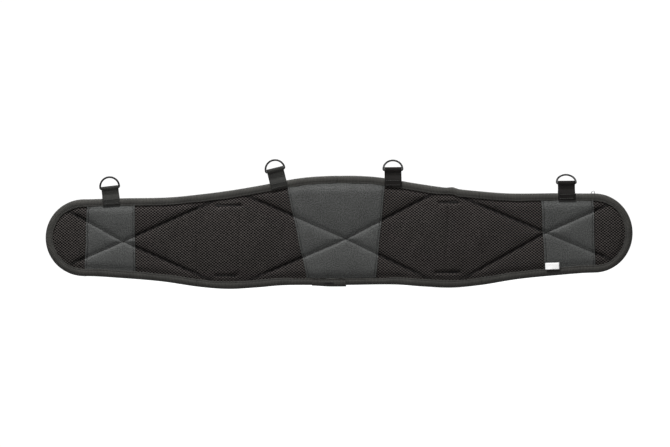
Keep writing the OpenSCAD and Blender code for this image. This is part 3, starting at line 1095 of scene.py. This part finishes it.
def make_lap():
    """The tape's end, lapped over its start at the bottom edge, with a zigzag bartack."""
    low, high = node_box("binding_lap")
    chosen = (RIM[:, 0] > low[0] - 1) & (RIM[:, 0] < high[0] + 1) & (RIM[:, 1] < 0)
    order = np.flatnonzero(chosen)
    order = order[np.argsort(RIM[order, 0])]
    points, inward, s = RIM[order], RIM_IN[order], RIM[order, 0]
    rings, ring = tape_sections(points, inward, s, proud=0.95, wave=0.0)
    lift = ramp(points[:, 0], low[0], low[0] + 30)[:, None] * 1.3
    rings[..., 2] -= lift * (1 - ring[:, 0] / TAPE_W)
    length = points[:, 0] - points[0, 0]
    across = np.cumsum(np.r_[0, np.linalg.norm(np.diff(ring, axis=0), axis=1)])
    lap = loft("binding_lap_tape", rings, TAPE, stacked_uv(length + 0.7, across))
    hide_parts("binding_lap")
    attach(lap, "back")
    rows = []
    for outward in (-1, 1):
        face = MID_Y + outward * 5.3
        t = np.arange(-23, -9.5, 1.15)
        a = np.column_stack([t, np.full(len(t), face), np.full(len(t), -70.2)])
        b = a + [0.6, 0, -3.9]
        c = a + [1.15, 0, 0]
        rows += [(a, b, facing(outward, len(t))), (b, c, facing(outward, len(t)))]
        seam = np.column_stack([np.linspace(low[0] + 1, high[0] - 1, 19), np.full(19, face),
                                np.full(19, -66.4)])
        rows.append(sewn(seam, outward))
    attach(stitches("binding_lap_stitches", rows, TACK_THREAD, 0.36, 0.2), "back")


def make_label():
    """The blank care label, a little askew, curled away from the patch with a fold at its foot."""
    u = np.linspace(0, 1, 16)[None, :]
    v = np.linspace(0, 1, 10)[:, None]
    slant = math.radians(1.5)
    wide, tall = 21.0, 10.2
    x = 312.6 + wide * u * math.cos(slant) - tall * v * math.sin(slant)
    z = -55 + wide * u * math.sin(slant) + tall * v * math.cos(slant)
    y = float(patch_y(x, z).min()) - PATCH_T - 0.4 - 0.8 * u**3 * v - 0.15 * np.sin(u * 7) * v
    y = y - 1.3 * np.exp(-(((u - 0.3) / 0.16) ** 2)) * (1 - v) ** 3
    label = slab("blank_label", stacked(x, y, z), stacked(x, y + 0.3, z), LABEL)
    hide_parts("care_label")
    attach(label, "right_end")


def hair(name, start, moves, body, radius=0.16):
    """A loose thread end: a thin tapering tube through a few points."""
    line = [np.array(start, float)]
    for move in moves:
        line.append(line[-1] + move)
    line = np.array(line)
    path = rounded_path(line, 0.5, 4)
    ahead = np.gradient(path, axis=0)
    ahead /= np.linalg.norm(ahead, axis=1)[:, None]
    side = np.cross(ahead, [0, 1, 0.01])
    side /= np.linalg.norm(side, axis=1)[:, None]
    up = np.cross(side, ahead)
    turn = np.radians(np.arange(6) * 60)
    wide = radius * np.linspace(1, 0.35, len(path))
    rings = (path[:, None] + side[:, None] * (np.cos(turn) * wide[:, None])[..., None]
             + up[:, None] * (np.sin(turn) * wide[:, None])[..., None])
    piece = loft(name, rings, TACK_THREAD, rings[..., [0, 2]])
    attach(piece, body)


def make_loose_threads():
    y = MID_Y - 3.0
    z = float(edge_z(381)) - 0.5
    hair("loose_thread_right_1", (383, y, z), [(1, 0, 2.6), (1.4, -0.4, 1.2), (1.2, 0.2, -1)],
         "right_end", 0.55)
    hair("loose_thread_right_2", (388, y, z), [(0.2, 0, 3.2), (-1.2, -0.3, 1.6)], "right_end", 0.55)
    hair("loose_thread_left", (-386, y, float(edge_z(-386, False)) + 0.5),
         [(-0.8, 0, -2.2), (-2, 0.3, -0.9)], "left_end", 0.25)


# ---------------------------------------------------------------- scene


def make_stage():
    floor_z = float(edge_z(170, False)) - 0.2 - 1.5
    mesh = bpy.data.meshes.new("floor")
    turn = np.radians(np.arange(96) * 3.75)
    ring = np.column_stack([2500 * np.cos(turn), 2500 * np.sin(turn), np.full(96, floor_z)]) * MM
    mesh.from_pydata(ring.tolist(), [], [list(range(96))])
    n = Nodes("floor")
    place = n.new("TexCoord").outputs["Object"]
    speck = n.new("TexNoise", {"Vector": place, "Scale": 6.0}).outputs[0]
    n.put(n.shader.inputs["Emission Color"], (1, 1, 1, 1))
    color = n.blend(speck, (0.07, 0.07, 0.07, 1), (0.09, 0.09, 0.09, 1))
    mesh.materials.append(n.finish(color=color, rough=0.9, specular=0.0, glow=0.9))
    floor = bpy.data.objects.new("floor", mesh)
    bpy.context.collection.objects.link(floor)


def make_lights():
    # A white room that darkens toward the ceiling
    world = bpy.data.worlds.new("studio")
    world.use_nodes = True
    tree = world.node_tree
    toward = tree.nodes.new("ShaderNodeTexCoord").outputs["Generated"]
    parts = tree.nodes.new("ShaderNodeSeparateXYZ")
    fade = tree.nodes.new("ShaderNodeMapRange")
    for index, value in enumerate((0.12, 0.45, 1.05, 0.25), start=1):
        fade.inputs[index].default_value = value
    tree.links.new(toward, parts.inputs[0])
    tree.links.new(parts.outputs[2], fade.inputs[0])
    tree.links.new(fade.outputs[0], tree.nodes["Background"].inputs["Strength"])
    tree.nodes["Background"].inputs["Color"].default_value = (1, 1, 1, 1)
    bpy.context.scene.world = world
    lamps = [("key", (-0.6, -1.3, 2.8), (1.2, 0.7), 380), ("top", (0.4, 0.2, 2.4), (2.0, 1.2), 20),
             ("back", (0.5, 2.1, 2.3), (1.6, 1.0), 140)]
    for name, place, size, power in lamps:
        data = bpy.data.lights.new(name, "AREA")
        data.shape = "RECTANGLE"
        data.size, data.size_y = size
        data.energy = power
        lamp = bpy.data.objects.new(name, data)
        lamp.location = place
        lamp.rotation_euler = (-Vector(place)).to_track_quat("-Z", "Y").to_euler()
        bpy.context.collection.objects.link(lamp)


# Camera: how wide a picture covers at the body face, where it looks, and its roll
VIEW_WIDTH = 1017.0
VIEW_X, VIEW_Z = -6.1, 18.1
VIEW_ROLL = 0.53
LENS = 150.0


def make_camera():
    data = bpy.data.cameras.new("camera")
    data.lens = LENS
    distance = VIEW_WIDTH * LENS / data.sensor_width
    camera = bpy.data.objects.new("camera", data)
    roll = Matrix.Rotation(math.radians(VIEW_ROLL), 4, "Y")
    upright = Matrix.Rotation(math.radians(90), 4, "X")
    place = Matrix.Translation(Vector((VIEW_X, FRONT_Y - distance, VIEW_Z)) * MM)
    camera.matrix_world = place @ roll @ upright
    data.clip_end = 100
    bpy.context.collection.objects.link(camera)
    bpy.context.scene.camera = camera


make_camera()
make_faces()
make_binding()
make_quilting()
make_patches()
make_tabs()
make_keepers()
make_lap()
make_label()
make_loose_threads()
for name, node in frame["nodes"].items():
    if name.startswith("d_ring_"):
        node.data.materials.clear()
        node.data.materials.append(RING)
        for face in node.data.polygons:
            face.use_smooth = True
make_stage()
make_lights()
bpy.context.scene.view_settings.view_transform = "Standard"
